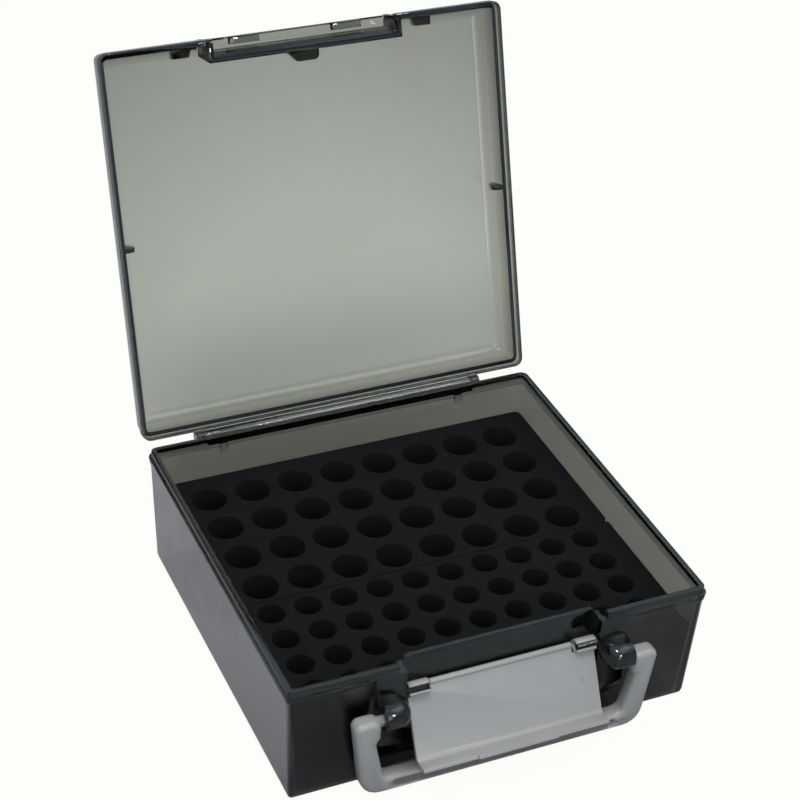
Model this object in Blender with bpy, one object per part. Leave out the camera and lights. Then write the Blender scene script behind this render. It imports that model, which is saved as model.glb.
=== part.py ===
"""Flip-lid battery storage case with a bail handle, a snap latch and perforated foam inserts.

Metres, +Z up. The front (latch and handle side) faces -Y and +X is to the right.
The origin is the centre of the underside of the base.
"""

import math

import bmesh
import bpy

# Case outline, shared by the base and the lid
case_width = 0.1764
case_depth = 0.1615
rim_corner_radius = 0.0037
rim_overhang = 0.0008
wall_thickness = 0.002
part_gap = 0.0003
cut_overrun = 0.004

# Base tray
floor_thickness = 0.002
base_draft = 0.0022
base_wall_thickness = 0.0024
base_edge_radius = 0.0035
parting_height = 0.0541
base_flange_height = 0.003
flange_taper = 0.0004
lip_height = 0.0028
lip_thickness = 0.0022
skirt_thickness = 0.0007

# Latch recess in the front wall of the base, and the pads on both sides of it
recess_half_width = 0.0406
recess_depth = 0.0054
recess_bottom_height = 0.020
recess_wall_thickness = 0.0018
pad_width = 0.0124
pad_bottom_height = 0.018

# Handle ears on the pads
ear_radius = 0.0056
ear_length = 0.0113
ear_centre_height = 0.0394
handle_pivot_drop = 0.0018
ear_reach = 0.00465
ear_bore_depth = 0.0068

# Hinge at the back
hinge_setback = 0.00265
hinge_rise = 0.0006
knuckle_radius = 0.00235
barrel_length = 0.1229
lid_lug_width = 0.004
gusset_offset = 0.053
gusset_width = 0.0032
gusset_height = 0.014
rod_radius = 0.0012
lid_open_angle = math.radians(108.4)

# Lid
lid_depth = 0.017
lid_draft = 0.0006
lid_flange_height = 0.004
lid_edge_radius = 0.005
lid_inner_radius = 0.004
rebate_depth = 0.0031
notch_half_width = 0.0403
notch_setback = 0.0075
notch_taper = 0.0012
shelf_setback = 0.0018
catch_rib_inner = 0.0163
catch_rib_width = 0.0127
catch_rib_depth = 0.003
catch_rib_thickness = 0.003
fin_thickness = 0.0018
fin_reach = 0.0045
fin_drop = 0.009
tab_offset = 0.0525
tab_width = 0.0085
tab_reach = 0.0036
guide_depth = 0.0045
tongue_width = 0.0145
tongue_offset = 0.0025
tongue_reach = 0.0042

# Latch flap, modelled closed with its pivot at the origin and its inner side towards +Y
flap_half_width = 0.0392
flap_thickness = 0.0018
flap_face_offset = 0.0005
flap_open_angle = math.radians(152.4)
lip_reach = 0.0055
lip_rise = 0.0012
tab_half_width = 0.0168
tab_extra_length = 0.0011
bead_radius = 0.0012
bead_half_length = 0.0298
bead_inset = 0.0005
clip_width = 0.0082
clip_wall = 0.001
clip_opening_angle = math.radians(68.0)
pin_radius = 0.0017
pin_length = 0.0089
latch_pivot_setback = 0.00205
latch_pivot_height = 0.0429

# Handle, modelled hanging with its pivot line at the origin
handle_thickness = 0.0075
handle_side_play = 0.0005
handle_ear_gap = 0.0009
arm_lean = 0.0032
arm_block_width = 0.0106
arm_block_step = 0.0018
arm_block_height = 0.0088
arm_width = 0.009
arm_top_rise = 0.0025
grip_drop = 0.0271
grip_height = 0.0071
handle_top_radius = 0.003
handle_outer_radius = 0.0085
handle_inner_radius = 0.003
handle_edge_round = 0.0021
stub_radius = 0.0022
stub_length = 0.0062
grip_recess_half_length = 0.0475
grip_recess_height = 0.0044
grip_recess_depth = 0.0011

# Foam inserts and their pockets
foam_height = 0.0362
foam_side_gap = 0.0004
foam_corner_radius = 0.003
large_pocket_diameter = 0.0148
large_columns = 8
large_rows = 4
large_side_margin = 0.020825
large_back_margin = 0.01925
large_rows_share = 0.56533
insert_row_step = 0.01694
small_pocket_diameter = 0.0110
small_columns = 10
small_rows = 4
small_side_margin = 0.018945
small_front_margin = 0.01854

# Shares of the sizes above that shape small roundings and tapers
corner_inset_share = 0.7
corner_least_share = 0.35
raised_round_share = 0.8
web_share = 0.98
fin_tip_shares = (0.125, 0.6)
fin_shoulder_shares = (0.333, 0.889)
tab_skew_share = 0.2
tongue_right_shares = (0.8, 0.333)
tongue_left_share = 0.3
plate_start_share = 0.8
lip_end_share = 0.7
bead_drop_share = 0.7

# Mesh fineness
corner_steps = 5
ear_nose_steps = 6
edge_steps = 3
round_sides = 24
large_pocket_sides = 16
small_pocket_sides = 12
handle_edge_steps = 3
handle_edge_angle = math.radians(50.0)
smooth_angle = math.radians(35.0)

# Places worked out from the sizes above
half_width = case_width / 2
half_depth = case_depth / 2
base_wall_top = parting_height - base_flange_height
base_lip_top = parting_height + lip_height
lip_inset = skirt_thickness + part_gap
base_inset = rim_overhang + base_wall_thickness
lid_inset = rim_overhang + wall_thickness
hinge_y = half_depth + hinge_setback
hinge_z = parting_height + hinge_rise
lid_rim_z = parting_height + part_gap
lid_top_z = lid_rim_z + lid_depth
lid_inner_z = lid_top_z - wall_thickness
recess_face_y = -half_depth + recess_depth
recess_inner_y = recess_face_y + recess_wall_thickness
pad_outer_x = recess_half_width + pad_width
ear_y = -half_depth - ear_reach
ear_outer_x = recess_half_width + ear_length
handle_pivot_z = ear_centre_height - handle_pivot_drop
ear_dome_x = recess_half_width + part_gap + ear_radius
arm_top_half_width = ear_outer_x + handle_ear_gap + arm_block_width
arm_bottom_half_width = arm_top_half_width - arm_lean
latch_y = -half_depth + latch_pivot_setback
shelf_front_y = -half_depth + shelf_setback
foam_bottom_z = floor_thickness + part_gap
foam_top_z = foam_bottom_z + foam_height
large_column_pitch = (case_width - 2 * large_side_margin) / (large_columns - 1)
small_column_pitch = (case_width - 2 * small_side_margin) / (small_columns - 1)
rows_length = case_depth - large_back_margin - insert_row_step - small_front_margin
large_row_pitch = rows_length * large_rows_share / (large_rows - 1)
small_row_pitch = rows_length * (1 - large_rows_share) / (small_rows - 1)
large_back_row = half_depth - large_back_margin
small_back_row = large_back_row - (large_rows - 1) * large_row_pitch - insert_row_step


def clear_scene():
    for item in list(bpy.data.objects):
        bpy.data.objects.remove(item, do_unlink=True)


def plastic(name, colour, roughness, metallic=0.0):
    material = bpy.data.materials.new(name)
    material.use_nodes = True
    shader = material.node_tree.nodes["Principled BSDF"]
    shader.inputs["Base Color"].default_value = (*colour, 1.0)
    shader.inputs["Roughness"].default_value = roughness
    shader.inputs["Metallic"].default_value = metallic
    material.diffuse_color = (*colour, 1.0)
    return material


def new_object(name, mesh_data):
    bmesh.ops.recalc_face_normals(mesh_data, faces=mesh_data.faces[:])
    mesh = bpy.data.meshes.new(name)
    mesh_data.to_mesh(mesh)
    mesh_data.free()
    item = bpy.data.objects.new(name, mesh)
    bpy.context.scene.collection.objects.link(item)
    return item


def loft(name, sections):
    """Closed solid through flat outlines; each section is (points, height)."""
    mesh_data = bmesh.new()
    rings = [[mesh_data.verts.new((x, y, z)) for x, y in points] for points, z in sections]
    for lower, upper in zip(rings, rings[1:]):
        for index, vertex in enumerate(lower):
            following = (index + 1) % len(lower)
            mesh_data.faces.new((vertex, lower[following], upper[following], upper[index]))
    mesh_data.faces.new(list(reversed(rings[0])))
    mesh_data.faces.new(rings[-1])
    return new_object(name, mesh_data)


def extrude_x(name, profile, start, end):
    """Closed solid from a (y, z) profile between two x positions."""
    mesh_data = bmesh.new()
    rings = [[mesh_data.verts.new((x, y, z)) for y, z in profile] for x in (start, end)]
    for index in range(len(profile)):
        following = (index + 1) % len(profile)
        near, far = rings
        mesh_data.faces.new((near[index], near[following], far[following], far[index]))
    mesh_data.faces.new(list(reversed(rings[0])))
    mesh_data.faces.new(rings[1])
    return new_object(name, mesh_data)


def extrude_y(name, profile, start, end):
    """Closed solid from an (x, z) profile between two y positions."""
    mesh_data = bmesh.new()
    rings = [[mesh_data.verts.new((x, y, z)) for x, z in profile] for y in (start, end)]
    for index in range(len(profile)):
        following = (index + 1) % len(profile)
        near, far = rings
        mesh_data.faces.new((near[index], near[following], far[following], far[index]))
    mesh_data.faces.new(list(reversed(rings[0])))
    mesh_data.faces.new(rings[1])
    return new_object(name, mesh_data)


def box(name, x_range, y_range, z_range):
    left, right = x_range
    front, back = y_range
    outline = [(left, front), (right, front), (right, back), (left, back)]
    return loft(name, [(outline, z_range[0]), (outline, z_range[1])])


def combine(target, other, operation):
    """Join or cut with the exact solver, then drop the other solid."""
    modifier = target.modifiers.new(operation.lower(), "BOOLEAN")
    modifier.operation = operation
    modifier.object = other
    other.hide_render = True
    other.display_type = "WIRE"
    bpy.context.view_layer.update()
    evaluated = target.evaluated_get(bpy.context.evaluated_depsgraph_get())
    mesh = bpy.data.meshes.new_from_object(evaluated)
    target.modifiers.clear()
    target.data = mesh
    bpy.data.objects.remove(other, do_unlink=True)
    return target


def add(target, other):
    return combine(target, other, "UNION")


def cut(target, other):
    return combine(target, other, "DIFFERENCE")


def arc(centre, radius, start, end, steps):
    """Points on an arc, both ends included, angles in radians."""
    points = []
    for step in range(steps + 1):
        angle = start + (end - start) * step / steps
        points.append((centre[0] + radius * math.cos(angle), centre[1] + radius * math.sin(angle)))
    return points


def circle(centre, radius, sides):
    return arc(centre, radius, 0.0, math.tau * (sides - 1) / sides, sides - 1)


def rounded_rectangle(x_range, y_range, radius, steps=corner_steps):
    corners = [
        ((x_range[1] - radius, y_range[0] + radius), -math.pi / 2),
        ((x_range[1] - radius, y_range[1] - radius), 0.0),
        ((x_range[0] + radius, y_range[1] - radius), math.pi / 2),
        ((x_range[0] + radius, y_range[0] + radius), math.pi),
    ]
    points = []
    for centre, start in corners:
        points += arc(centre, radius, start, start + math.pi / 2, steps)
    return points


def case_outline(inset):
    """Plan outline of the case, drawn in by the inset."""
    radius = max(rim_corner_radius - inset * corner_inset_share, rim_corner_radius * corner_least_share)
    x_edge = half_width - inset
    y_edge = half_depth - inset
    return rounded_rectangle((-x_edge, x_edge), (-y_edge, y_edge), radius)


def rounded_sections(inset, radius, edge_z, direction):
    """Sections round an edge: from the side wall to the flat, above or below edge_z."""
    sections = []
    for step in range(edge_steps + 1):
        angle = math.pi / 2 * step / edge_steps
        drawn_in = inset + radius * (1 - math.cos(angle))
        sections.append((case_outline(drawn_in), edge_z + direction * radius * math.sin(angle)))
    return sections


def wall_draft_at(height):
    """How far the drafted base wall has moved in at a height, below the flange."""
    return base_draft * (1 - height / base_wall_top)


def both_sides(build):
    """Builds a feature on the right (+1) and on the left (-1)."""
    return [build(side) for side in (1, -1)]


def span(first, second):
    return (min(first, second), max(first, second))


def base_outer():
    low_inset = rim_overhang + wall_draft_at(base_edge_radius)
    low_edge = rounded_sections(low_inset, base_edge_radius, base_edge_radius, -1)
    sections = list(reversed(low_edge))
    sections += [
        (case_outline(rim_overhang), base_wall_top),
        (case_outline(flange_taper), base_wall_top),
        (case_outline(0), parting_height),
        (case_outline(lip_inset), parting_height),
        (case_outline(lip_inset), base_lip_top),
    ]
    return loft("base_case", sections)


def base_cavity():
    lip_inner = lip_inset + lip_thickness
    return loft("base_cavity", [
        (case_outline(base_inset + wall_draft_at(floor_thickness)), floor_thickness),
        (case_outline(base_inset), base_wall_top),
        (case_outline(lip_inner), parting_height),
        (case_outline(lip_inner), base_lip_top + cut_overrun),
    ])


def add_recess(base):
    """Pads flush with the flange, then the set-back wall between them with its raised, rounded top."""
    def pad(side):
        low = pad_bottom_height
        in_wall = -half_depth + rim_overhang + base_wall_thickness / 2
        profile = [
            (-half_depth, low + pad_width / 3),
            (-half_depth, parting_height),
            (in_wall, parting_height),
            (in_wall + wall_draft_at(low), low),
            (-half_depth + rim_overhang, low),
        ]
        x_range = span(side * recess_half_width, side * pad_outer_x)
        return add(base, extrude_x("pad", profile, *x_range))

    both_sides(pad)
    inner_half = recess_half_width + recess_wall_thickness
    wall_bottom = recess_bottom_height - recess_wall_thickness
    behind = [
        (-half_depth + base_inset, wall_bottom - recess_depth),
        (recess_inner_y, wall_bottom),
        (recess_inner_y, parting_height),
        (-half_depth + rim_overhang, parting_height),
        (-half_depth + rim_overhang, wall_bottom - recess_depth),
    ]
    add(base, extrude_x("recess_back", behind, -inner_half, inner_half))
    clear_lip = box("lip_gap", (-inner_half - lip_thickness / 2, inner_half + lip_thickness / 2),
                    (-half_depth - cut_overrun, recess_inner_y + lip_thickness),
                    (parting_height, base_lip_top + cut_overrun))
    cut(base, clear_lip)
    front = -half_depth - cut_overrun
    hollow = [
        (front, recess_bottom_height - recess_depth - cut_overrun),
        (recess_face_y, recess_bottom_height),
        (recess_face_y, parting_height + cut_overrun),
        (front, parting_height + cut_overrun),
    ]
    cut(base, extrude_x("recess", hollow, -recess_half_width, recess_half_width))
    round_end = lip_height * raised_round_share
    raised_half = notch_half_width - part_gap
    raised_low = parting_height - wall_thickness
    round_x = raised_half - round_end
    round_z = base_lip_top - round_end
    raised = [(-raised_half, raised_low), (raised_half, raised_low)]
    raised += arc((round_x, round_z), round_end, 0.0, math.pi / 2, edge_steps)
    raised += arc((-round_x, round_z), round_end, math.pi / 2, math.pi, edge_steps)
    return add(base, extrude_y("raised_wall", raised, recess_face_y, recess_inner_y))


def ear_outline(side, radius):
    """D-shaped front view of an ear: a half circle at the inner end, flat at the outer end."""
    start = math.pi / 2 if side > 0 else -math.pi / 2
    outline = arc((side * ear_dome_x, ear_centre_height), radius, start, start + math.pi, round_sides // 2)
    outer = side * ear_outer_x
    drop = side * radius
    return outline + [(outer, ear_centre_height - drop), (outer, ear_centre_height + drop)]


def add_ears(base):
    """Bullet-shaped ears: rounded at the nose and at the inner end, flat outside, with a blind bore."""
    def ear(side):
        places = [(ear_radius, -half_depth + rim_overhang)]
        for step in range(ear_nose_steps):
            angle = math.pi / 2 * step / ear_nose_steps
            places.append((ear_radius * math.cos(angle), ear_y - ear_radius * math.sin(angle)))
        mesh_data = bmesh.new()
        rings = []
        for radius, y in places:
            rings.append([mesh_data.verts.new((x, y, z)) for x, z in ear_outline(side, radius)])
        for near, far in zip(rings, rings[1:]):
            for index in range(len(near)):
                following = (index + 1) % len(near)
                mesh_data.faces.new((near[index], near[following], far[following], far[index]))
        mesh_data.faces.new(list(reversed(rings[0])))
        mesh_data.faces.new(rings[-1])
        add(base, new_object("ear", mesh_data))
        bore_radius = stub_radius + part_gap
        bore_end = side * (ear_outer_x - ear_bore_depth)
        bore_outline = circle((ear_y, handle_pivot_z), bore_radius, round_sides)
        x_range = span(bore_end, side * (ear_outer_x + cut_overrun))
        return cut(base, extrude_x("ear_bore", bore_outline, *x_range))

    both_sides(ear)
    return base


def add_latch_pins(base):
    def pin(side):
        root = side * (recess_half_width + recess_wall_thickness / 2)
        end = side * (recess_half_width - pin_length)
        outline = circle((latch_y, latch_pivot_height), pin_radius, round_sides)
        return add(base, extrude_x("pin", outline, *span(end, root)))

    both_sides(pin)
    return base


def hinge_web(low, high):
    """Flat web between a knuckle on the hinge axis and the rim in front of it."""
    rim_y = half_depth - rim_overhang / 2
    return [(rim_y, low), (hinge_y, low), (hinge_y, high), (rim_y, high)]


def add_base_barrel(base):
    half = barrel_length / 2
    web_low = hinge_z - knuckle_radius * web_share
    barrel_outline = circle((hinge_y, hinge_z), knuckle_radius, round_sides)
    add(base, extrude_x("web", hinge_web(web_low, parting_height), -half, half))
    add(base, extrude_x("barrel", barrel_outline, -half, half))

    def gusset(side):
        low = parting_height - gusset_height
        in_wall = half_depth - rim_overhang - base_wall_thickness / 2
        profile = [
            (in_wall - wall_draft_at(low), low),
            (half_depth, parting_height - base_flange_height),
            (hinge_y, web_low + part_gap),
            (in_wall, hinge_z - knuckle_radius / 2),
        ]
        x_range = span(side * gusset_offset, side * (gusset_offset + gusset_width))
        return add(base, extrude_x("gusset", profile, *x_range))

    both_sides(gusset)
    bore_outline = circle((hinge_y, hinge_z), rod_radius + part_gap, round_sides)
    return cut(base, extrude_x("bore", bore_outline, -half - cut_overrun, half + cut_overrun))


def build_base():
    base = cut(base_outer(), base_cavity())
    add_recess(base)
    add_ears(base)
    add_latch_pins(base)
    add_base_barrel(base)
    return base


def lid_outer():
    side_top = lid_top_z - lid_edge_radius
    sections = [
        (case_outline(0), lid_rim_z),
        (case_outline(0), lid_rim_z + lid_flange_height),
        (case_outline(rim_overhang), lid_rim_z + lid_flange_height),
    ]
    sections += rounded_sections(rim_overhang + lid_draft, lid_edge_radius, side_top, 1)
    return loft("lid", sections)


def lid_cavity():
    side_top = lid_inner_z - lid_inner_radius
    sections = [
        (case_outline(skirt_thickness), lid_rim_z - cut_overrun),
        (case_outline(skirt_thickness), lid_rim_z + rebate_depth),
        (case_outline(lid_inset), lid_rim_z + rebate_depth),
    ]
    sections += rounded_sections(lid_inset + lid_draft, lid_inner_radius, side_top, 1)
    return loft("lid_cavity", sections)


def add_notch(lid):
    """Pocket in the front wall where the latch flap lies, under a shelf that its lip hooks over."""
    rim_y = -half_depth + notch_setback
    shelf_y = rim_y - notch_taper
    outer_half = notch_half_width + wall_thickness
    front = -half_depth + rim_overhang + lid_draft
    body = [
        (front, lid_rim_z),
        (rim_y + wall_thickness, lid_rim_z),
        (shelf_y + wall_thickness, lid_inner_z + part_gap),
        (shelf_front_y + part_gap, lid_inner_z + part_gap),
        (shelf_front_y + part_gap, lid_inner_z),
        (front, lid_inner_z),
    ]
    add(lid, extrude_x("notch_walls", body, -outer_half, outer_half))
    shelf_back = rim_y + wall_thickness
    shelf = [(shelf_back, lid_inner_z), (shelf_back, lid_top_z)]
    round_centre = (shelf_front_y + wall_thickness, lid_top_z - wall_thickness)
    shelf += arc(round_centre, wall_thickness, math.pi / 2, math.pi, corner_steps)
    add(lid, extrude_x("shelf", shelf, -outer_half, outer_half))
    front_over = -half_depth - cut_overrun
    low_over = lid_rim_z - cut_overrun
    pocket = [
        (front_over, low_over),
        (rim_y, low_over),
        (rim_y, lid_rim_z),
        (shelf_y, lid_inner_z),
        (front_over, lid_inner_z),
    ]
    cut(lid, extrude_x("pocket", pocket, -notch_half_width, notch_half_width))

    def catch_rib(side):
        x_range = span(side * catch_rib_inner, side * (catch_rib_inner + catch_rib_width))
        y_range = (shelf_front_y, shelf_front_y + catch_rib_thickness)
        z_range = (lid_inner_z - catch_rib_depth, lid_inner_z + part_gap)
        return add(lid, box("catch_rib", x_range, y_range, z_range))

    both_sides(catch_rib)
    return lid


def add_lid_guides(lid):
    """Side fins, and the flat tabs and the tongue at the front that steer the closing lid."""
    wall_x = half_width - lid_inset
    fin_low = lid_rim_z + rebate_depth
    fin_top = fin_low + fin_drop

    def fin(side):
        root = side * (wall_x + wall_thickness / 2)
        tip = wall_x - fin_reach
        tip_round = fin_reach / 2
        nose = arc((tip + tip_round, fin_low + tip_round), tip_round, -math.pi / 2, -math.pi, edge_steps)
        for across_share, along_share in (fin_tip_shares, fin_shoulder_shares):
            nose.append((tip + fin_reach * across_share, fin_low + fin_drop * along_share))
        profile = [(root, fin_low)] + [(side * x, z) for x, z in nose] + [(root, fin_top)]
        return add(lid, extrude_y("fin", profile, -fin_thickness / 2, fin_thickness / 2))

    both_sides(fin)
    tab_low = fin_low
    tab_high = tab_low + guide_depth

    def tab(side):
        root_y = -half_depth + lid_inset - wall_thickness / 2
        tip_y = -half_depth + lid_inset + tab_reach
        near = side * (tab_offset - tab_width / 2)
        far = side * (tab_offset + tab_width / 2)
        skewed = near + side * tab_width * tab_skew_share
        outline = [(near, root_y), (far, root_y), (far, tip_y), (skewed, tip_y)]
        return add(lid, loft("tab", [(outline, tab_low), (outline, tab_high)]))

    both_sides(tab)
    root_y = -half_depth + notch_setback + wall_thickness / 2
    tip_y = -half_depth + notch_setback + wall_thickness + tongue_reach
    half = tongue_width / 2
    end_x = half * tongue_right_shares[0]
    side_y = tip_y - tongue_reach * tongue_right_shares[1]
    start_x = -half * tongue_left_share
    shape = [(-half, root_y), (half, root_y), (half, side_y), (end_x, tip_y), (start_x, tip_y)]
    outline = [(x - tongue_offset, y) for x, y in shape]
    return add(lid, loft("tongue", [(outline, lid_rim_z), (outline, lid_rim_z + guide_depth)]))


def add_lid_lugs(lid):
    inner = barrel_length / 2 + part_gap
    outer = inner + lid_lug_width

    def lug(side):
        x_range = span(side * inner, side * outer)
        web = hinge_web(hinge_z, hinge_z + knuckle_radius * web_share)
        add(lid, extrude_x("web", web, *x_range))
        add(lid, extrude_x("lug", circle((hinge_y, hinge_z), knuckle_radius, round_sides), *x_range))
        bore_outline = circle((hinge_y, hinge_z), rod_radius + part_gap, round_sides)
        bore = extrude_x("bore", bore_outline, x_range[0] - cut_overrun, x_range[1] + cut_overrun)
        return cut(lid, bore)

    both_sides(lug)
    return lid


def build_lid():
    lid = cut(lid_outer(), lid_cavity())
    add_notch(lid)
    add_lid_guides(lid)
    add_lid_lugs(lid)
    return lid


def build_rod():
    length = barrel_length / 2 + lid_lug_width
    outline = circle((hinge_y, hinge_z), rod_radius, round_sides // 2)
    return extrude_x("hinge_rod", outline, -length, length)


def build_flap():
    """Closed position: pivot at the origin, plate rising along +Z, inner side towards +Y."""
    inner = -flap_face_offset
    outer = inner - flap_thickness
    shelf_z = lid_top_z - latch_pivot_height
    lip_under = shelf_z + part_gap
    lip_top = lip_under + flap_thickness
    clip_top = pin_radius + part_gap + clip_wall

    def plate_profile(start_z, extra):
        bend = wall_thickness + part_gap
        bend_centre = (inner + bend, lip_under - bend)
        end_y = inner + lip_reach + extra
        profile = [(inner, start_z)]
        profile += arc(bend_centre, bend, math.pi, math.pi / 2, corner_steps)
        profile += [(end_y, lip_under + lip_rise), (end_y, lip_top + lip_rise * lip_end_share)]
        profile += arc(bend_centre, bend + flap_thickness, math.pi / 2, math.pi, corner_steps)
        return profile + [(outer, start_z)]

    plate = plate_profile(clip_top * plate_start_share, 0.0)
    flap = extrude_x("latch_flap", plate, -flap_half_width, flap_half_width)
    lip_tab = plate_profile(shelf_z * plate_start_share, tab_extra_length)
    add(flap, extrude_x("lip_tab", lip_tab, -tab_half_width, tab_half_width))
    low = -bead_radius / 2
    middle = [(inner, low), (inner, clip_top), (outer, clip_top), (outer, low)]
    add(flap, extrude_x("middle", middle, -bead_half_length, bead_half_length))
    bead_centre = (inner - bead_inset, -bead_radius * bead_drop_share)
    bead = circle(bead_centre, bead_radius, round_sides // 2)
    add(flap, extrude_x("bead", bead, -bead_half_length, bead_half_length))

    def clip(side):
        inner_radius = pin_radius + part_gap
        outer_radius = inner_radius + clip_wall
        half_gap = clip_opening_angle / 2
        steps = round_sides * 3 // 4
        ring = arc((0.0, 0.0), outer_radius, half_gap, math.tau - half_gap, steps)
        ring += list(reversed(arc((0.0, 0.0), inner_radius, half_gap, math.tau - half_gap, steps)))
        x_range = span(side * (flap_half_width - clip_width), side * flap_half_width)
        return add(flap, extrude_x("clip", ring, *x_range))

    both_sides(clip)
    return flap


def handle_outline():
    """U-shaped outline in x and z round the pivot line."""
    bottom = -grip_drop - grip_height
    lean = math.atan2(arm_top_half_width - arm_bottom_half_width, arm_top_rise - bottom)
    block_inner = arm_top_half_width - arm_block_width
    step_top = arm_top_rise - arm_block_height
    step_low = step_top - arm_block_step
    inner_low = arm_bottom_half_width - arm_width
    corner = handle_outer_radius
    inside = handle_inner_radius
    top = handle_top_radius
    low_centre = (arm_bottom_half_width - corner, bottom + corner)
    right = arc(low_centre, corner, -math.pi / 2, -lean, corner_steps)
    right += arc((arm_top_half_width - top, arm_top_rise - top), top, -lean, math.pi / 2, edge_steps)
    right += arc((block_inner + top, arm_top_rise - top), top, math.pi / 2, math.pi, edge_steps)
    right += [(block_inner, step_top), (block_inner + arm_block_step, step_low)]
    right += arc((inner_low - inside, -grip_drop + inside), inside, 0.0, -math.pi / 2, edge_steps)
    left = [(-x, z) for x, z in reversed(right)]
    return right + left


def build_handle():
    half = handle_thickness / 2
    handle = extrude_y("handle", handle_outline(), -half, half)
    bevel = handle.modifiers.new("edges", "BEVEL")
    bevel.width = handle_edge_round
    bevel.segments = handle_edge_steps
    bevel.limit_method = "ANGLE"
    bevel.angle_limit = handle_edge_angle
    recess_centre_z = -grip_drop - grip_height / 2
    end_radius = grip_recess_height / 2
    end_x = grip_recess_half_length - end_radius
    slot = arc((end_x, recess_centre_z), end_radius, -math.pi / 2, math.pi / 2, corner_steps)
    slot += arc((-end_x, recess_centre_z), end_radius, math.pi / 2, math.pi * 3 / 2, corner_steps)
    cut(handle, extrude_y("grip_recess", slot, -half - cut_overrun, -half + grip_recess_depth))

    def stub(side):
        root = side * (arm_top_half_width - arm_block_width / 2)
        end = side * (arm_top_half_width - arm_block_width - stub_length)
        outline = circle((0.0, 0.0), stub_radius, round_sides)
        return add(handle, extrude_x("stub", outline, *span(end, root)))

    both_sides(stub)
    return handle


def pocket_cutters(name, rows, columns, row_pitch, column_pitch, back_row, diameter, sides):
    mesh_data = bmesh.new()
    low = foam_bottom_z - cut_overrun / 4
    high = foam_top_z + cut_overrun / 4
    for row in range(rows):
        for column in range(columns):
            centre = ((column - (columns - 1) / 2) * column_pitch, back_row - row * row_pitch)
            points = circle(centre, diameter / 2, sides)
            rings = [[mesh_data.verts.new((x, y, z)) for x, y in points] for z in (low, high)]
            for index in range(sides):
                following = (index + 1) % sides
                near, far = rings
                mesh_data.faces.new((near[index], near[following], far[following], far[index]))
            mesh_data.faces.new(list(reversed(rings[0])))
            mesh_data.faces.new(rings[1])
    return new_object(name, mesh_data)


def insert_split():
    """Middle of the foam between the last large pocket and the first small one."""
    large_edge = large_back_row - (large_rows - 1) * large_row_pitch - large_pocket_diameter / 2
    small_edge = small_back_row + small_pocket_diameter / 2
    return (large_edge + small_edge) / 2


def build_large_insert():
    def outline(height):
        inset = base_inset + wall_draft_at(height) + foam_side_gap
        x_range = (-half_width + inset, half_width - inset)
        y_range = (insert_split() + part_gap / 2, half_depth - inset)
        return rounded_rectangle(x_range, y_range, foam_corner_radius, edge_steps)

    sections = [(outline(height), height) for height in (foam_bottom_z, foam_top_z)]
    foam = loft("large_cell_insert", sections)
    cutters = pocket_cutters("large_pockets", large_rows, large_columns, large_row_pitch,
                             large_column_pitch, large_back_row, large_pocket_diameter,
                             large_pocket_sides)
    return cut(foam, cutters)


def build_small_insert():
    def outline(height):
        inset = base_inset + wall_draft_at(height) + foam_side_gap
        x_high = half_width - inset
        front = -half_depth + inset
        back = insert_split() - part_gap / 2
        notch_x = recess_half_width + recess_wall_thickness + foam_side_gap
        notch_y = recess_inner_y + foam_side_gap
        radius = foam_corner_radius
        right = [(notch_x, notch_y), (notch_x, front)]
        right += arc((x_high - radius, front + radius), radius, -math.pi / 2, 0.0, edge_steps)
        right += [(x_high, back)]
        return right + [(-x, y) for x, y in reversed(right)]

    sections = [(outline(height), height) for height in (foam_bottom_z, foam_top_z)]
    foam = loft("small_cell_insert", sections)
    cutters = pocket_cutters("small_pockets", small_rows, small_columns, small_row_pitch,
                             small_column_pitch, small_back_row, small_pocket_diameter,
                             small_pocket_sides)
    return cut(foam, cutters)


def shade(item):
    item.data.shade_smooth()
    item.data.set_sharp_from_angle(angle=smooth_angle)


def move_origin(item, point):
    """Puts the object's origin on a world point without moving its mesh."""
    for vertex in item.data.vertices:
        vertex.co.x -= point[0]
        vertex.co.y -= point[1]
        vertex.co.z -= point[2]
    item.location = point


def pivot_empty(name, point, angle):
    empty = bpy.data.objects.new(name, None)
    empty.empty_display_size = lid_depth
    empty.location = point
    empty.rotation_euler = (angle, 0.0, 0.0)
    bpy.context.scene.collection.objects.link(empty)
    return empty


def finish(item, material):
    item.data.materials.clear()
    item.data.materials.append(material)
    shade(item)


def main():
    clear_scene()
    smoke = plastic("smoke_polystyrene", (0.045, 0.052, 0.055), 0.18)
    grey = plastic("grey_abs", (0.33, 0.335, 0.34), 0.42)
    foam = plastic("black_foam", (0.012, 0.012, 0.013), 0.95)
    steel = plastic("steel_wire", (0.55, 0.56, 0.57), 0.3, 1.0)

    base = build_base()
    finish(base, smoke)

    hinge_point = (0.0, hinge_y, hinge_z)
    lid = build_lid()
    move_origin(lid, hinge_point)
    lid.location = (0.0, 0.0, 0.0)
    lid.parent = pivot_empty("lid_hinge", hinge_point, -lid_open_angle)
    finish(lid, smoke)

    rod = build_rod()
    finish(rod, steel)

    flap = build_flap()
    flap.parent = pivot_empty("latch_pivot", (0.0, latch_y, latch_pivot_height), flap_open_angle)
    finish(flap, grey)

    handle = build_handle()
    handle.parent = pivot_empty("handle_pivot", (-handle_side_play, ear_y, handle_pivot_z), 0.0)
    finish(handle, grey)

    finish(build_large_insert(), foam)
    finish(build_small_insert(), foam)


if __name__ == "__main__":
    main()
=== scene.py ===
"""Looks for the flip-lid storage case: smoke shells, satin grey latch and bail, black foam."""

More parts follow.
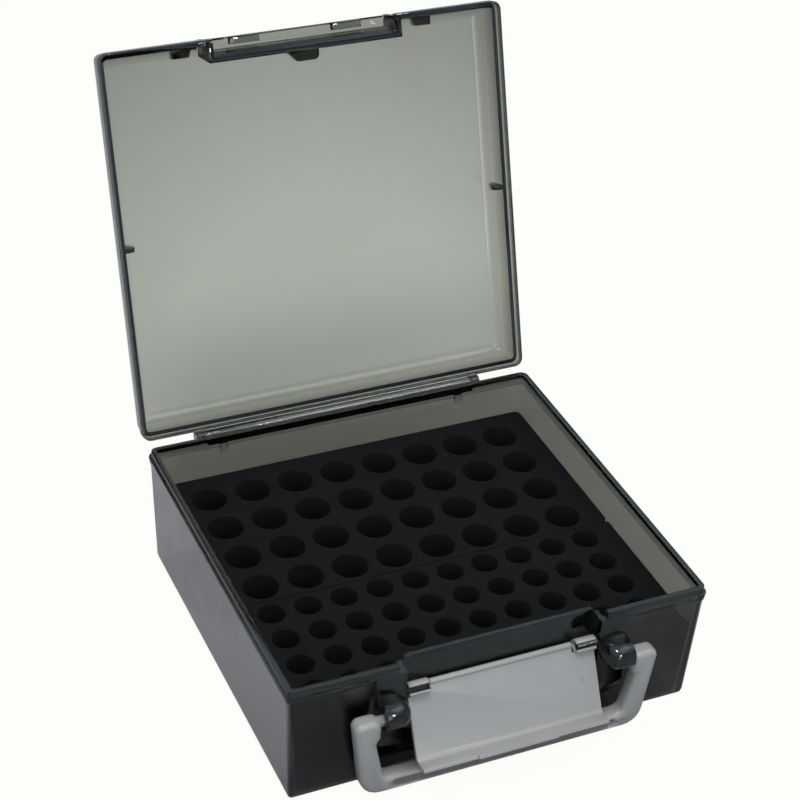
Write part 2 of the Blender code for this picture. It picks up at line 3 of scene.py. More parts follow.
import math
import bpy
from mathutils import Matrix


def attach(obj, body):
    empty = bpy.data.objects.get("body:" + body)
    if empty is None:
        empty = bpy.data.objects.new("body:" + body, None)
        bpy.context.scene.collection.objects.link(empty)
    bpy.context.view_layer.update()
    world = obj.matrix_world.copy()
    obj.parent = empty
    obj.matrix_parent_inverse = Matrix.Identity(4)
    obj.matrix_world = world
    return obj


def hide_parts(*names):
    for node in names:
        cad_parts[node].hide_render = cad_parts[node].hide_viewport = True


bl_info = {
    "name": "Storage Case",
    "version": (1, 0, 0),
    "blender": (4, 5, 0),
    "location": "View3D > Sidebar > Case",
    "description": "Dresses the storage case with moulded, foam and wire finishes",
    "category": "Object",
}

import bmesh
import bpy
from bpy.props import FloatProperty, FloatVectorProperty, IntProperty, PointerProperty
from bpy.types import NodeSocket, Operator, Panel, PropertyGroup
from mathutils import Vector

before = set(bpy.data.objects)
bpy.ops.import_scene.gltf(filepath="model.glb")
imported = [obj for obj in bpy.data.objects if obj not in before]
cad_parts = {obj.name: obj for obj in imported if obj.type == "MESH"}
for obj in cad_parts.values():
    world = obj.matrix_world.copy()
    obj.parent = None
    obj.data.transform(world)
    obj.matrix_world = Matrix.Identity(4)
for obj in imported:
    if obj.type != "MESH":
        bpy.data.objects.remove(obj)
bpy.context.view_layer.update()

MILLIMETRE = 0.001


def from_hex(text):
    """An sRGB hex value turned to linear colour."""
    channels = [int(text[index:index + 2], 16) / 255 for index in (1, 3, 5)]
    return tuple(c / 12.92 if c <= 0.04045 else ((c + 0.055) / 1.055) ** 2.4 for c in channels)


# Camera of the photograph
CAMERA_PLACE = (-0.3083, -0.6123, 0.5864)
CAMERA_TURN = (55.304, -3.032, -23.731)
CAMERA_LENS = 96.86
CAMERA_SENSOR = 36.0

# Open cover: its palest place low on the panel, where the painted light is centred and the painted shade grows
# away from it; the way that it faces, its rim's reach along that way, and the depth of the rim's painted shade
COVER_PAINTED_LIGHT_PLACE = (0.0, 0.1, 0.07)
COVER_AXIS = (0.0, -0.949, 0.316)
COVER_RIM = -60 * MILLIMETRE
COVER_SHADE_DEPTH = 13 * MILLIMETRE

# Hollow of the grip, deeper than the CAD's 1.1 mm: its middle on the front face, half length, height and depth
GRIP_PLACE = (0.0, -89.15 * MILLIMETRE, 6.95 * MILLIMETRE)
GRIP_HALF_LENGTH = 47.5 * MILLIMETRE
GRIP_HEIGHT = 4.4 * MILLIMETRE
GRIP_DEPTH = 4.0 * MILLIMETRE

# Ejector mark on the open latch's inner face: middle, outward normal, ring radius and groove radius
MARK_PLACE = (32.37 * MILLIMETRE, -84.66 * MILLIMETRE, 30.41 * MILLIMETRE)
MARK_NORMAL = (0.0, -0.886, 0.463)
MARK_RADIUS = 0.8 * MILLIMETRE
MARK_GROOVE = 0.2 * MILLIMETRE
LATCH_EDGE_ROUND = 0.3 * MILLIMETRE


# Sizes and colours that a user would change
class CaseShellSettings(PropertyGroup):
    """Moulded smoke shells."""
    clear_colour: FloatVectorProperty(
        name="Clear colour", description="Surface tint of the clear polystyrene", subtype="COLOR", size=3,
        min=0, max=1, default=from_hex("#FBFCFB"))
    tray_colour: FloatVectorProperty(
        name="Tray colour", description="Share of light that the tray's pigment lets through",
        subtype="COLOR", size=3, min=0, max=1, default=from_hex("#989A92"))
    cover_colour: FloatVectorProperty(
        name="Cover colour", description="Share of light that the cover's pigment lets through",
        subtype="COLOR", size=3, min=0, max=1, default=from_hex("#979B88"))
    tray_density: FloatProperty(
        name="Tray density", description="Absorption per metre of the tray's plastic", min=0, default=900.0)
    cover_density: FloatProperty(
        name="Cover density", description="Absorption per metre of the cover's plastic", min=0, default=480.0)
    gloss: FloatProperty(
        name="Gloss roughness", description="Roughness of the polished mould face", min=0, max=1,
        default=0.06)
    edge_round: FloatProperty(
        name="Edge rounding", description="Radius on the moulded edges", subtype="DISTANCE", min=0,
        default=0.35 * MILLIMETRE)


class CaseFittingSettings(PropertyGroup):
    """Latch and bail."""
    grey_colour: FloatVectorProperty(
        name="Grey colour", description="Pigment of the latch and the bail", subtype="COLOR", size=3,
        min=0, max=1, default=from_hex("#9FA0A1"))
    satin: FloatProperty(
        name="Satin roughness", description="Roughness of the spark-eroded mould face", min=0, max=1,
        default=0.30)


class CaseFoamSettings(PropertyGroup):
    """Foam inserts."""
    foam_colour: FloatVectorProperty(
        name="Foam colour", description="Pigment of the closed-cell foam", subtype="COLOR", size=3,
        min=0, max=1, default=from_hex("#101112"))
    cell_size: FloatProperty(
        name="Cell size", description="Width of one foam cell", subtype="DISTANCE", min=0,
        default=0.5 * MILLIMETRE)
    pocket_sides: IntProperty(
        name="Pocket sides", description="Sides of each round pocket", min=12, max=64, default=32)
    lead_in: FloatProperty(
        name="Lead-in", description="Rounding of each pocket's mouth", subtype="DISTANCE", min=0,
        default=0.5 * MILLIMETRE)


class CaseStageSettings(PropertyGroup):
    """Studio round the case."""
    floor_colour: FloatVectorProperty(
        name="Floor colour", description="Colour of the floor and the backdrop", subtype="COLOR", size=3,
        min=0, max=1, default=from_hex("#FDFFFA"))
    # The floor's painted shade and painted shadow, seen only in reflections and bounced light
    painted_shade_beside_colour: FloatVectorProperty(
        name="Mirrored floor", description="Colour of the floor beside the case in reflections",
        subtype="COLOR", size=3, min=0, max=1, default=from_hex("#CBCDD3"))
    painted_shadow_foot_colour: FloatVectorProperty(
        name="Mirrored near floor", description="Colour of the floor at the case's foot in reflections",
        subtype="COLOR", size=3, min=0, max=1, default=from_hex("#75767C"))
    painted_shade_far_colour: FloatVectorProperty(
        name="Mirrored far floor", description="Colour of the floor further in front in reflections",
        subtype="COLOR", size=3, min=0, max=1, default=from_hex("#A3B4B8"))
    painted_dark_beyond_colour: FloatVectorProperty(
        name="Mirrored dark end", description="Colour past the end of the floor card in reflections",
        subtype="COLOR", size=3, min=0, max=1, default=from_hex("#303236"))
    sky_strength: FloatProperty(
        name="Sky strength", description="Strength of the even studio light", min=0, default=0.48)
    ceiling_colour: FloatVectorProperty(
        name="Ceiling colour", description="Tint of the studio ceiling in reflections", subtype="COLOR",
        size=3, min=0, max=1, default=from_hex("#DDF1FF"))
    ceiling_strength: FloatProperty(
        name="Ceiling strength", description="How bright the ceiling is in reflections", min=0, default=0.95)
    key_strength: FloatProperty(
        name="Key strength", description="Power of the overhead softbox in watts", min=0, default=6.0)
    accent_strength: FloatProperty(
        name="Accent strength", description="Power of each small softbox in watts", min=0, default=1.2)
    edge_strength: FloatProperty(
        name="Edge strength", description="Power of the low softbox in watts, half that of the right one",
        min=0, default=0.9)


# Node and material helpers
def add_node(tree, kind, inputs=None, **settings):
    """Adds one node with its settings; inputs take a value or another node's socket."""
    node = tree.nodes.new(kind)
    for name, value in settings.items():
        setattr(node, name, value)
    for name, value in (inputs or {}).items():
        if isinstance(value, NodeSocket):
            tree.links.new(value, node.inputs[name])
        else:
            node.inputs[name].default_value = value
    return node


def new_material(name):
    material = bpy.data.materials.new(name)
    material.use_nodes = True
    material.node_tree.nodes.clear()
    return material, material.node_tree


def object_place(tree):
    return add_node(tree, "ShaderNodeTexCoord").outputs["Object"]


def smoke_polystyrene(name, settings, colour, density, painted_light_place=None):
    """Injection-moulded polystyrene, tinted smoke: clear, glossy, dark where light runs along a wall; on the
    cover, painted shade in the tint as well.
    """
    material, tree = new_material(name)
    place = object_place(tree)
    # Slow flow lines of the melt, 14 mm apart, and the mould's 0.6 mm polish marks
    flow = add_node(tree, "ShaderNodeTexNoise", {
        "Vector": place, "Scale": 1 / (14 * MILLIMETRE), "Detail": 2.0})
    polish = add_node(tree, "ShaderNodeTexNoise", {
        "Vector": place, "Scale": 1 / (0.6 * MILLIMETRE), "Detail": 3.0})
    rough = add_node(tree, "ShaderNodeMapRange", {
        "Value": flow.outputs["Fac"], "To Min": settings.gloss * 0.6, "To Max": settings.gloss * 1.5})
    wave = add_node(tree, "ShaderNodeBump", {
        "Strength": 0.03, "Distance": 0.1 * MILLIMETRE, "Height": flow.outputs["Fac"]})
    grain = add_node(tree, "ShaderNodeBump", {
        "Strength": 0.01, "Distance": 0.02 * MILLIMETRE, "Height": polish.outputs["Fac"],
        "Normal": wave.outputs["Normal"]})
    shader = add_node(tree, "ShaderNodeBsdfPrincipled", {
        "Base Color": (*settings.clear_colour, 1), "Roughness": rough.outputs["Result"], "IOR": 1.59,
        "Transmission Weight": 1.0, "Normal": grain.outputs["Normal"]})
    if painted_light_place:
        # Painted shade: the cover is darker towards its top corners, as in the photograph, around a painted pool
        # of light low on its panel
        reach = add_node(tree, "ShaderNodeVectorMath", {0: place, 1: painted_light_place}, operation="DISTANCE")
        clear = add_node(tree, "ShaderNodeMapRange", {
            "Value": reach.outputs["Value"], "From Min": 70 * MILLIMETRE, "From Max": 165 * MILLIMETRE,
            "To Min": 1.0, "To Max": 0.62})
        # Painted shade darkens its walls and rim too, on top of what the volume absorbs
        level = add_node(tree, "ShaderNodeVectorMath", {0: place, 1: COVER_AXIS}, operation="DOT_PRODUCT")
        rim = add_node(tree, "ShaderNodeMapRange", {
            "Value": level.outputs["Value"], "From Min": COVER_RIM - COVER_SHADE_DEPTH, "From Max": COVER_RIM,
            "To Min": 1.0, "To Max": 0.3})
        share = add_node(tree, "ShaderNodeMath", {0: clear.outputs["Result"], 1: rim.outputs["Result"]},
                         operation="MULTIPLY")
        tint = add_node(tree, "ShaderNodeVectorMath", {0: settings.clear_colour, "Scale": share.outputs[0]},
                        operation="SCALE")
        tree.links.new(tint.outputs["Vector"], shader.inputs["Base Color"])
    smoke = add_node(tree, "ShaderNodeVolumeAbsorption", {
        "Color": (*colour, 1), "Density": density})
    add_node(tree, "ShaderNodeOutputMaterial", {
        "Surface": shader.outputs["BSDF"], "Volume": smoke.outputs["Volume"]})
    return material


def grey_abs(settings):
    """Moulded ABS with a fine spark-eroded face: soft broad highlights over an even grey."""
    material, tree = new_material("grey_abs_satin")
    place = object_place(tree)
    # The real spark grain is 0.1 mm; it is drawn at 0.35 mm so that it shows
    grain = add_node(tree, "ShaderNodeTexNoise", {
        "Vector": place, "Scale": 1 / (0.35 * MILLIMETRE), "Detail": 4.0})
    cloud = add_node(tree, "ShaderNodeTexNoise", {
        "Vector": place, "Scale": 1 / (18 * MILLIMETRE), "Detail": 3.0})
    dark = tuple(c * 0.93 for c in settings.grey_colour)
    light = tuple(min(1.0, c * 1.05) for c in settings.grey_colour)
    tint = add_node(tree, "ShaderNodeMix", {
        "Factor": cloud.outputs["Fac"]}, data_type="RGBA")
    tint.inputs[6].default_value = (*dark, 1)
    tint.inputs[7].default_value = (*light, 1)
    rough = add_node(tree, "ShaderNodeMapRange", {
        "Value": cloud.outputs["Fac"], "To Min": settings.satin * 0.85, "To Max": settings.satin * 1.15})
    bump = add_node(tree, "ShaderNodeBump", {
        "Strength": 0.10, "Distance": 0.05 * MILLIMETRE, "Height": grain.outputs["Fac"]})
    shader = add_node(tree, "ShaderNodeBsdfPrincipled", {
        "Base Color": tint.outputs[2], "Roughness": rough.outputs["Result"], "IOR": 1.53,
        "Normal": bump.outputs["Normal"]})
    add_node(tree, "ShaderNodeOutputMaterial", {"Surface": shader.outputs["BSDF"]})
    return material


def closed_cell_foam(settings):
    """Cut cross-linked polyethylene foam: matte black with a skin of tiny closed cells."""
    material, tree = new_material("black_polyethylene_foam_cut")
    place = object_place(tree)
    cells = add_node(tree, "ShaderNodeTexVoronoi", {"Vector": place, "Scale": 1 / settings.cell_size})
    cloud = add_node(tree, "ShaderNodeTexNoise", {
        "Vector": place, "Scale": 1 / (9 * MILLIMETRE), "Detail": 4.0})
    tint = add_node(tree, "ShaderNodeMix", {"Factor": cloud.outputs["Fac"]}, data_type="RGBA")
    tint.inputs[6].default_value = (*[c * 0.7 for c in settings.foam_colour], 1)
    tint.inputs[7].default_value = (*[c * 1.4 for c in settings.foam_colour], 1)
    bump = add_node(tree, "ShaderNodeBump", {
        "Strength": 0.5, "Distance": 0.15 * MILLIMETRE, "Height": cells.outputs["Distance"]})
    shader = add_node(tree, "ShaderNodeBsdfPrincipled", {
        "Base Color": tint.outputs[2], "Roughness": 0.92, "IOR": 1.5, "Specular IOR Level": 0.15,
        "Normal": bump.outputs["Normal"]})
    add_node(tree, "ShaderNodeOutputMaterial", {"Surface": shader.outputs["BSDF"]})
    return material


def drawn_steel():
    """Bright drawn steel wire: fine lengthwise draw lines."""
    material, tree = new_material("steel_wire_drawn")
    place = object_place(tree)
    stretch = add_node(tree, "ShaderNodeMapping", {
        "Vector": place, "Scale": (1 / (6 * MILLIMETRE), 1 / (0.2 * MILLIMETRE), 1 / (0.2 * MILLIMETRE))})
    lines = add_node(tree, "ShaderNodeTexNoise", {
        "Vector": stretch.outputs["Vector"], "Scale": 1.0, "Detail": 3.0})
    rough = add_node(tree, "ShaderNodeMapRange", {
        "Value": lines.outputs["Fac"], "To Min": 0.18, "To Max": 0.34})
    shader = add_node(tree, "ShaderNodeBsdfPrincipled", {
        "Base Color": (*from_hex("#C9CACC"), 1), "Metallic": 1.0, "Roughness": rough.outputs["Result"]})
    add_node(tree, "ShaderNodeOutputMaterial", {"Surface": shader.outputs["BSDF"]})
    return material


# Mesh helpers
def dress(piece, material):
    piece.data.materials.clear()
    piece.data.materials.append(material)


def shade(piece, degrees=32):
    piece.data.shade_smooth()
    piece.data.set_sharp_from_angle(angle=math.radians(degrees))


def link(name, mesh):
    piece = bpy.data.objects.new(name, mesh)
    bpy.context.scene.collection.objects.link(piece)
    return piece


def make_piece(name, work):
    """A piece from a bmesh, which is freed."""
    mesh = bpy.data.meshes.new(name)
    work.to_mesh(mesh)
    work.free()
    return link(name, mesh)


def add_prism(work, low, high):
    """Closes two like rings of corners into a prism."""
    for index in range(len(low)):
        following = (index + 1) % len(low)
        work.faces.new((low[index], low[following], high[following], high[index]))
    work.faces.new(list(reversed(low)))
    work.faces.new(high)


def settle(piece):
    """Puts the modifiers' result into the mesh."""
    bpy.context.view_layer.update()
    evaluated = piece.evaluated_get(bpy.context.evaluated_depsgraph_get())
    mesh = bpy.data.meshes.new_from_object(evaluated)
    piece.modifiers.clear()
    piece.data = mesh
    return piece


def ring_cutter(place, normal, radius, groove, turns=32, sides=8):
    """A ring, for cutting a round groove into a face."""
    work = bmesh.new()
    turn = Vector(normal).to_track_quat("Z", "Y")
    rings = []
    for step in range(turns):
        around = math.tau * step / turns
        ring = []
        for side in range(sides):
            angle = math.tau * side / sides
            reach = radius + math.cos(angle) * groove
            point = Vector((math.cos(around) * reach, math.sin(around) * reach, math.sin(angle) * groove))
            ring.append(work.verts.new(Vector(place) + turn @ point))
        rings.append(ring)
    for step in range(turns):
        for side in range(sides):
            across = (side + 1) % sides
            work.faces.new((rings[step - 1][side], rings[step][side],
                            rings[step][across], rings[step - 1][across]))
    bmesh.ops.recalc_face_normals(work, faces=work.faces[:])
    return make_piece("ring_cutter", work)


def slot_cutter(place, half_length, height, depth, steps=12):
    """A slot with round ends, for cutting into a front face."""
    work = bmesh.new()
    radius = height / 2
    outline = []
    for side in (1, -1):
        for step in range(steps + 1):
            angle = side * math.pi / 2 * (2 * step / steps - 1) + (0 if side > 0 else math.pi)
            outline.append((side * (half_length - radius) + math.cos(angle) * radius,
                            side * math.sin(angle) * radius))
    rings = [[work.verts.new((place[0] + x, place[1] + y, place[2] + z)) for x, z in outline]
             for y in (-MILLIMETRE, depth)]
    add_prism(work, *rings)
    bmesh.ops.recalc_face_normals(work, faces=work.faces[:])
    return make_piece("slot_cutter", work)


def softened_copy(node, name, width, segments=2, degrees=38):
    """A copy of a CAD solid with its moulded edges rounded."""
    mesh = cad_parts[node].data.copy()
    work = bmesh.new()
    work.from_mesh(mesh)
    bmesh.ops.remove_doubles(work, verts=work.verts[:], dist=0.002 * MILLIMETRE)
    bmesh.ops.dissolve_limit(work, angle_limit=math.radians(0.6), verts=work.verts[:], edges=work.edges[:])
    work.to_mesh(mesh)
    work.free()
    piece = link(name, mesh)
    bevel = piece.modifiers.new("moulded_edges", "BEVEL")
    bevel.width = width
    bevel.segments = segments
    bevel.limit_method = "ANGLE"
    bevel.angle_limit = math.radians(degrees)
    bevel.use_clamp_overlap = True
    settle(piece)
    shade(piece)
    return piece


class CASE_OT_shells(Operator):
    """Softens the moulded edges of the tray and the cover and makes them smoke polystyrene"""
    bl_idname = "case.shells"
    bl_label = "Smoke shells"

    def execute(self, context):
        settings = context.scene.case_shell
        shells = (
            ("base_case", "smoke_tray", "base", settings.tray_colour, settings.tray_density, None),
            ("lid", "smoke_cover", "lid", settings.cover_colour, settings.cover_density, COVER_PAINTED_LIGHT_PLACE),
        )
        for node, name, body, colour, density, painted_light_place in shells:
            piece = softened_copy(node, name, settings.edge_round)
            dress(piece, smoke_polystyrene(name + "_polystyrene", settings, colour, density, painted_light_place))
            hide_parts(node)
            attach(piece, body)
        return {"FINISHED"}


class CASE_OT_fittings(Operator):
    """Makes the snap latch and the bail of satin grey ABS"""
    bl_idname = "case.fittings"
    bl_label = "Latch and bail"

    def execute(self, context):
        settings = context.scene.case_fitting
        material = grey_abs(settings)
        latch = softened_copy("latch_flap", "snap_latch", LATCH_EDGE_ROUND)
        subtract(latch, ring_cutter(MARK_PLACE, MARK_NORMAL, MARK_RADIUS, MARK_GROOVE))
        shade(latch)
        dress(latch, material)
        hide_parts("latch_flap")
        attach(latch, "latch")
        handle = link("carry_handle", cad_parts["handle"].data.copy())
        subtract(handle, slot_cutter(GRIP_PLACE, GRIP_HALF_LENGTH, GRIP_HEIGHT, GRIP_DEPTH))
        shade(handle)
        dress(handle, material)
        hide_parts("handle")
        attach(handle, "handle")
        return {"FINISHED"}


def rounded_outline(points, radius, steps=4):
    """Plan outline whose corners are rounded, each with its own radius share of the given one."""
    outline = []
    for index, (x, y, share) in enumerate(points):
        here = Vector((x, y))
        before = Vector(points[index - 1][:2]) - here
        after = Vector(points[(index + 1) % len(points)][:2]) - here
        if not share:
            outline.append(tuple(here))
            continue
        reach = radius * share
        start = here + before.normalized() * reach
        end = here + after.normalized() * reach
        for step in range(steps + 1):
            t = step / steps
            outline.append(tuple(start * (1 - t) ** 2 + here * 2 * t * (1 - t) + end * t ** 2))
    return outline


def foam_block(name, low_outline, top_outline, low, top):
    work = bmesh.new()
    rings = [[work.verts.new((x, y, z)) for x, y in outline]
             for outline, z in ((low_outline, low), (top_outline, top))]
    add_prism(work, *rings)
    bmesh.ops.recalc_face_normals(work, faces=work.faces[:])
    return make_piece(name, work)


def pocket_cutter(rows, sides, low, top):
    """Every pocket of one insert; rows holds (centre y, column pitch, columns, diameter)."""
    work = bmesh.new()
    for centre_y, pitch, columns, diameter in rows:
        for column in range(columns):
            centre_x = (column - (columns - 1) / 2) * pitch
            rings = []
            for z in (low, top):
                ring = []
                for index in range(sides):
                    angle = math.tau * index / sides
                    ring.append(work.verts.new((
                        centre_x + math.cos(angle) * diameter / 2,
                        centre_y + math.sin(angle) * diameter / 2, z)))
                rings.append(ring)
            add_prism(work, *rings)
    return make_piece("pocket_cutter", work)


def subtract(piece, cutter):
    modifier = piece.modifiers.new("cut", "BOOLEAN")
    modifier.operation = "DIFFERENCE"
    modifier.object = cutter
    settle(piece)
    bpy.data.objects.remove(cutter, do_unlink=True)


# Foam plan in millimetres: half width, back or front edge and split at the floor and at the top
FOAM_LOW = 2.3
FOAM_TOP = 38.5
FOAM_CORNER = 3.2
FOAM_HALF_WIDTHS = (82.5, 84.05)
FOAM_ENDS = (75.05, 76.6)
FOAM_SPLIT = -8.28
FOAM_SPLIT_GAP = 0.15
LATCH_BAY_HALF_WIDTH = 42.8
LATCH_BAY_BACK = -73.15

# Four rows of pockets in each insert, from the back: centre y, column pitch, columns and diameter
ROW_COUNT = 4
LARGE_ROWS = [(61.5 - 20.12 * row, 19.25, 8, 14.8) for row in range(ROW_COUNT)]
SMALL_ROWS = [(-15.8 - 15.47 * row, 15.39, 10, 11.0) for row in range(ROW_COUNT)]


def large_plan(half_width, end):
    edge = FOAM_SPLIT + FOAM_SPLIT_GAP
    return [(-half_width, edge, 1), (half_width, edge, 1), (half_width, end, 1), (-half_width, end, 1)]


def small_plan(half_width, end):
    edge = FOAM_SPLIT - FOAM_SPLIT_GAP
    bay = LATCH_BAY_HALF_WIDTH
    return [(-half_width, -end, 1), (-bay, -end, 0), (-bay, LATCH_BAY_BACK, 0), (bay, LATCH_BAY_BACK, 0),
            (bay, -end, 0), (half_width, -end, 1), (half_width, edge, 0.3), (-half_width, edge, 0.3)]


class CASE_OT_foam(Operator):
    """Cuts the two foam inserts with round, lead-in pockets"""
    bl_idname = "case.foam"
    bl_label = "Foam inserts"

    def execute(self, context):
        settings = context.scene.case_foam
        material = closed_cell_foam(settings)
        inserts = (
            ("large_cell_insert", "large_cell_foam", large_plan, LARGE_ROWS),
            ("small_cell_insert", "small_cell_foam", small_plan, SMALL_ROWS),
        )
        for node, name, plan, rows in inserts:
            outlines = []
            for half_width, end in zip(FOAM_HALF_WIDTHS, FOAM_ENDS):
                outlines.append([(x * MILLIMETRE, y * MILLIMETRE) for x, y in
                                 rounded_outline(plan(half_width, end), FOAM_CORNER)])
            piece = foam_block(name, *outlines, FOAM_LOW * MILLIMETRE, FOAM_TOP * MILLIMETRE)
            metres = [(y * MILLIMETRE, pitch * MILLIMETRE, columns, diameter * MILLIMETRE)
                      for y, pitch, columns, diameter in rows]
            subtract(piece, pocket_cutter(metres, settings.pocket_sides, 0, 2 * FOAM_TOP * MILLIMETRE))
            bevel = piece.modifiers.new("soft_edges", "BEVEL")
            bevel.width = settings.lead_in
            bevel.segments = 3
            bevel.limit_method = "ANGLE"
            bevel.angle_limit = math.radians(50)
            settle(piece)
            shade(piece, 40)
            dress(piece, material)
            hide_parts(node)
            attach(piece, "base")
        return {"FINISHED"}


class CASE_OT_hardware(Operator):
    """Gives the hinge rod its drawn steel"""
    bl_idname = "case.hardware"
    bl_label = "Hinge rod"

    def execute(self, context):
        dress(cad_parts["hinge_rod"], drawn_steel())
        return {"FINISHED"}


def background_material(name, colour, painted_floor_shades, camera_share, glossy_share, through_share):
    """Pale matte card that shows as clean background and keeps the object's shadow, more so in the plastic;
    reflections and bounced light see it in painted shade.
    """
    material, tree = new_material(name)
    rays = add_node(tree, "ShaderNodeLightPath")
    shares = []
    for output, value in (("Is Camera Ray", camera_share), ("Is Glossy Ray", glossy_share),
                          ("Is Transmission Ray", through_share)):
        shares.append(add_node(tree, "ShaderNodeMath", {0: rays.outputs[output], 1: value},
                               operation="MULTIPLY"))
    nearest = add_node(tree, "ShaderNodeMath", {0: shares[0].outputs[0], 1: shares[1].outputs[0]},
                       operation="MAXIMUM")
    share = add_node(tree, "ShaderNodeMath", {0: nearest.outputs[0], 1: shares[2].outputs[0]},
                     operation="MAXIMUM")
    # Reflections and bounced light take the floor as a grey of painted shade, fitted to the photograph, and not
    # as the pale card
    bounced = add_node(tree, "ShaderNodeMath", {
        0: rays.outputs["Is Glossy Ray"], 1: rays.outputs["Is Diffuse Ray"]}, operation="MAXIMUM")
    mirror_ray = add_node(tree, "ShaderNodeMath", {
        0: bounced.outputs[0], 1: rays.outputs["Is Transmission Ray"]},
        operation="SUBTRACT", use_clamp=True)
    # Painted shade from the case's middle to the front: beside it, a painted shadow at the foot of its front,
    # 150 to 270 mm out, and painted dark from 540 mm
    place = add_node(tree, "ShaderNodeSeparateXYZ", {"Vector": object_place(tree)})
    forward = add_node(tree, "ShaderNodeMapRange", {
        "Value": place.outputs["Y"], "From Min": 0.0, "From Max": -600 * MILLIMETRE})
    painted_shade_falloff = add_node(tree, "ShaderNodeValToRGB", {"Fac": forward.outputs["Result"]})
    beside, near, far, beyond = [(*mirror, 1) for mirror in painted_floor_shades]
    stops = painted_shade_falloff.color_ramp.elements
    stops[0].position, stops[0].color = 0.10, beside
    stops[1].position, stops[1].color = 0.90, beyond
    for position, mirror in ((0.147, near), (0.167, near), (0.25, far), (0.45, far)):
        stops.new(position).color = mirror
    mirrored = add_node(tree, "ShaderNodeMix", {"Factor": mirror_ray.outputs[0]}, data_type="RGBA")
    mirrored.inputs[6].default_value = (*colour, 1)
    tree.links.new(painted_shade_falloff.outputs["Color"], mirrored.inputs[7])
    card = add_node(tree, "ShaderNodeBsdfDiffuse", {"Color": mirrored.outputs[2]})
    glow = add_node(tree, "ShaderNodeEmission", {"Color": (*colour, 1), "Strength": 1.0})
    mix = add_node(tree, "ShaderNodeMixShader", {
        0: share.outputs[0], 1: card.outputs["BSDF"], 2: glow.outputs["Emission"]})
    add_node(tree, "ShaderNodeOutputMaterial", {"Surface": mix.outputs["Shader"]})
    return material


def softbox(name, place, target, size, power):
    lamp = bpy.data.lights.new(name, "AREA")
    lamp.shape = "RECTANGLE"
    lamp.size = size[0]
    lamp.size_y = size[1]
    lamp.energy = power
    item = bpy.data.objects.new(name, lamp)
    item.location = place
    item.rotation_euler = (Vector(place) - Vector(target)).to_track_quat("Z", "Y").to_euler()
    bpy.context.scene.collection.objects.link(item)
    return item


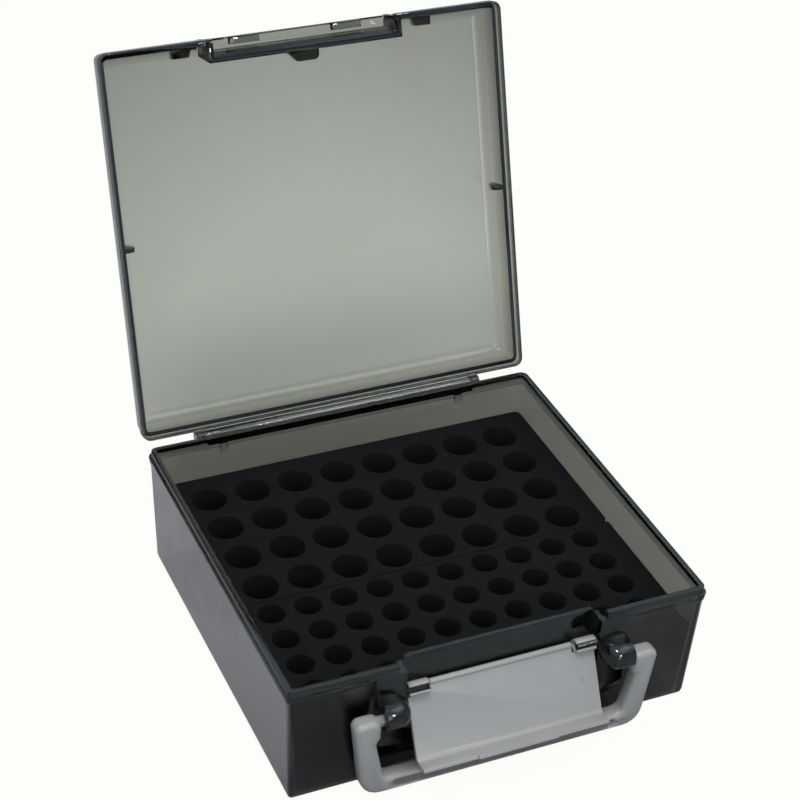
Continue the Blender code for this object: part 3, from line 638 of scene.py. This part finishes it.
class CASE_OT_stage(Operator):
    """Sets the camera, the pale floor and the even studio light"""
    bl_idname = "case.stage"
    bl_label = "Stage"

    def execute(self, context):
        settings = context.scene.case_stage
        scene = context.scene
        scene.view_settings.view_transform = "Standard"
        camera = bpy.data.cameras.new("photo_camera")
        camera.lens = CAMERA_LENS
        camera.sensor_width = CAMERA_SENSOR
        camera.clip_start = 0.01
        item = bpy.data.objects.new("photo_camera", camera)
        item.location = CAMERA_PLACE
        item.rotation_euler = [math.radians(angle) for angle in CAMERA_TURN]
        scene.collection.objects.link(item)
        scene.camera = item

        half = 3.0
        drop = -0.2 * MILLIMETRE
        mesh = bpy.data.meshes.new("studio_floor")
        corners = [(-half, -half, drop), (half, -half, drop), (half, half, drop), (-half, half, drop)]
        mesh.from_pydata(corners, [], [(0, 1, 2, 3)])
        floor = link("studio_floor", mesh)
        dress(floor, background_material(
            "pale_card_floor", settings.floor_colour,
            (settings.painted_shade_beside_colour, settings.painted_shadow_foot_colour, settings.painted_shade_far_colour,
             settings.painted_dark_beyond_colour), 0.97, 0.03, 0.2))

        world = bpy.data.worlds.new("even_studio")
        world.use_nodes = True
        scene.world = world
        tree = world.node_tree
        tree.nodes.clear()
        rays = add_node(tree, "ShaderNodeLightPath")
        seen = add_node(tree, "ShaderNodeMath", {
            0: rays.outputs["Is Camera Ray"], 1: rays.outputs["Is Transmission Ray"]}, operation="MAXIMUM")
        lit = add_node(tree, "ShaderNodeBackground", {
            "Color": (1, 1, 1, 1), "Strength": settings.sky_strength})
        shown = add_node(tree, "ShaderNodeBackground", {"Color": (*settings.floor_colour, 1), "Strength": 1.0})
        # What the gloss mirrors, all in the ceiling's tint: a glow at the horizon that fades out by 20 degrees,
        # over a dim wall, and the ceiling in full from 40 degrees
        direction = add_node(tree, "ShaderNodeTexCoord").outputs["Generated"]
        way = add_node(tree, "ShaderNodeSeparateXYZ", {"Vector": direction})
        low = add_node(tree, "ShaderNodeMapRange", {
            "Value": way.outputs["Z"], "From Min": 0.05, "From Max": 0.35, "To Min": 0.6, "To Max": 0.0})
        high = add_node(tree, "ShaderNodeMapRange", {
            "Value": way.outputs["Z"], "From Min": 0.35, "From Max": 0.65, "To Min": 0.25,
            "To Max": settings.ceiling_strength})
        height = add_node(tree, "ShaderNodeMath", {0: low.outputs["Result"], 1: high.outputs["Result"]})
        mirrored = add_node(tree, "ShaderNodeBackground", {
            "Color": (*settings.ceiling_colour, 1), "Strength": height.outputs[0]})
        glossy = add_node(tree, "ShaderNodeMixShader", {
            0: rays.outputs["Is Glossy Ray"], 1: lit.outputs["Background"], 2: mirrored.outputs["Background"]})
        mix = add_node(tree, "ShaderNodeMixShader", {
            0: seen.outputs[0], 1: glossy.outputs["Shader"], 2: shown.outputs["Background"]})
        add_node(tree, "ShaderNodeOutputWorld", {"Surface": mix.outputs["Shader"]})

        softboxes = (
            ("overhead_softbox", (-0.35, -0.3, 1.25), (0, 0, 0.05), (0.35, 0.35), settings.key_strength),
            ("front_softbox", (0.08, -0.9, 0.62), (-0.05, -0.085, 0.04), (0.12, 0.12), settings.accent_strength),
            ("left_softbox", (-0.89, -0.29, 0.35), (0.05, -0.085, 0.04), (0.12, 0.12), settings.accent_strength),
            ("low_softbox", (-0.12, -1.02, 0.40), (0, 0.1, 0.1), (0.3, 0.4), settings.edge_strength),
            ("right_softbox", (0.5, -0.31, 1.09), (0.08, 0.1, 0.12), (0.9, 0.6), 2 * settings.edge_strength),
        )
        for name, place, target, size, power in softboxes:
            lamp = softbox(name, place, target, size, power)
            # The left one shows in highlights only
            lamp.visible_diffuse = name != "left_softbox"
        return {"FINISHED"}


class CASE_PT_panel(Panel):
    """Lists the case's pieces and settings"""
    bl_idname = "CASE_PT_panel"
    bl_label = "Storage Case"
    bl_space_type = "VIEW_3D"
    bl_region_type = "UI"
    bl_category = "Case"

    def draw(self, context):
        for group in (context.scene.case_shell, context.scene.case_fitting, context.scene.case_foam,
                      context.scene.case_stage):
            box = self.layout.box()
            for name in group.__annotations__:
                box.prop(group, name)
        for operator in OPERATORS:
            self.layout.operator(operator.bl_idname)


SETTINGS = {
    "case_shell": CaseShellSettings,
    "case_fitting": CaseFittingSettings,
    "case_foam": CaseFoamSettings,
    "case_stage": CaseStageSettings,
}
OPERATORS = (CASE_OT_stage, CASE_OT_shells, CASE_OT_fittings, CASE_OT_foam, CASE_OT_hardware)


def register():
    for item in (*SETTINGS.values(), *OPERATORS, CASE_PT_panel):
        bpy.utils.register_class(item)
    for name, group in SETTINGS.items():
        setattr(bpy.types.Scene, name, PointerProperty(type=group))


def unregister():
    for name in SETTINGS:
        delattr(bpy.types.Scene, name)
    for item in reversed((*SETTINGS.values(), *OPERATORS, CASE_PT_panel)):
        bpy.utils.unregister_class(item)


def main():
    register()
    bpy.ops.case.stage()
    bpy.ops.case.shells()
    bpy.ops.case.fittings()
    bpy.ops.case.foam()
    bpy.ops.case.hardware()


if __name__ == "__main__":
    main()
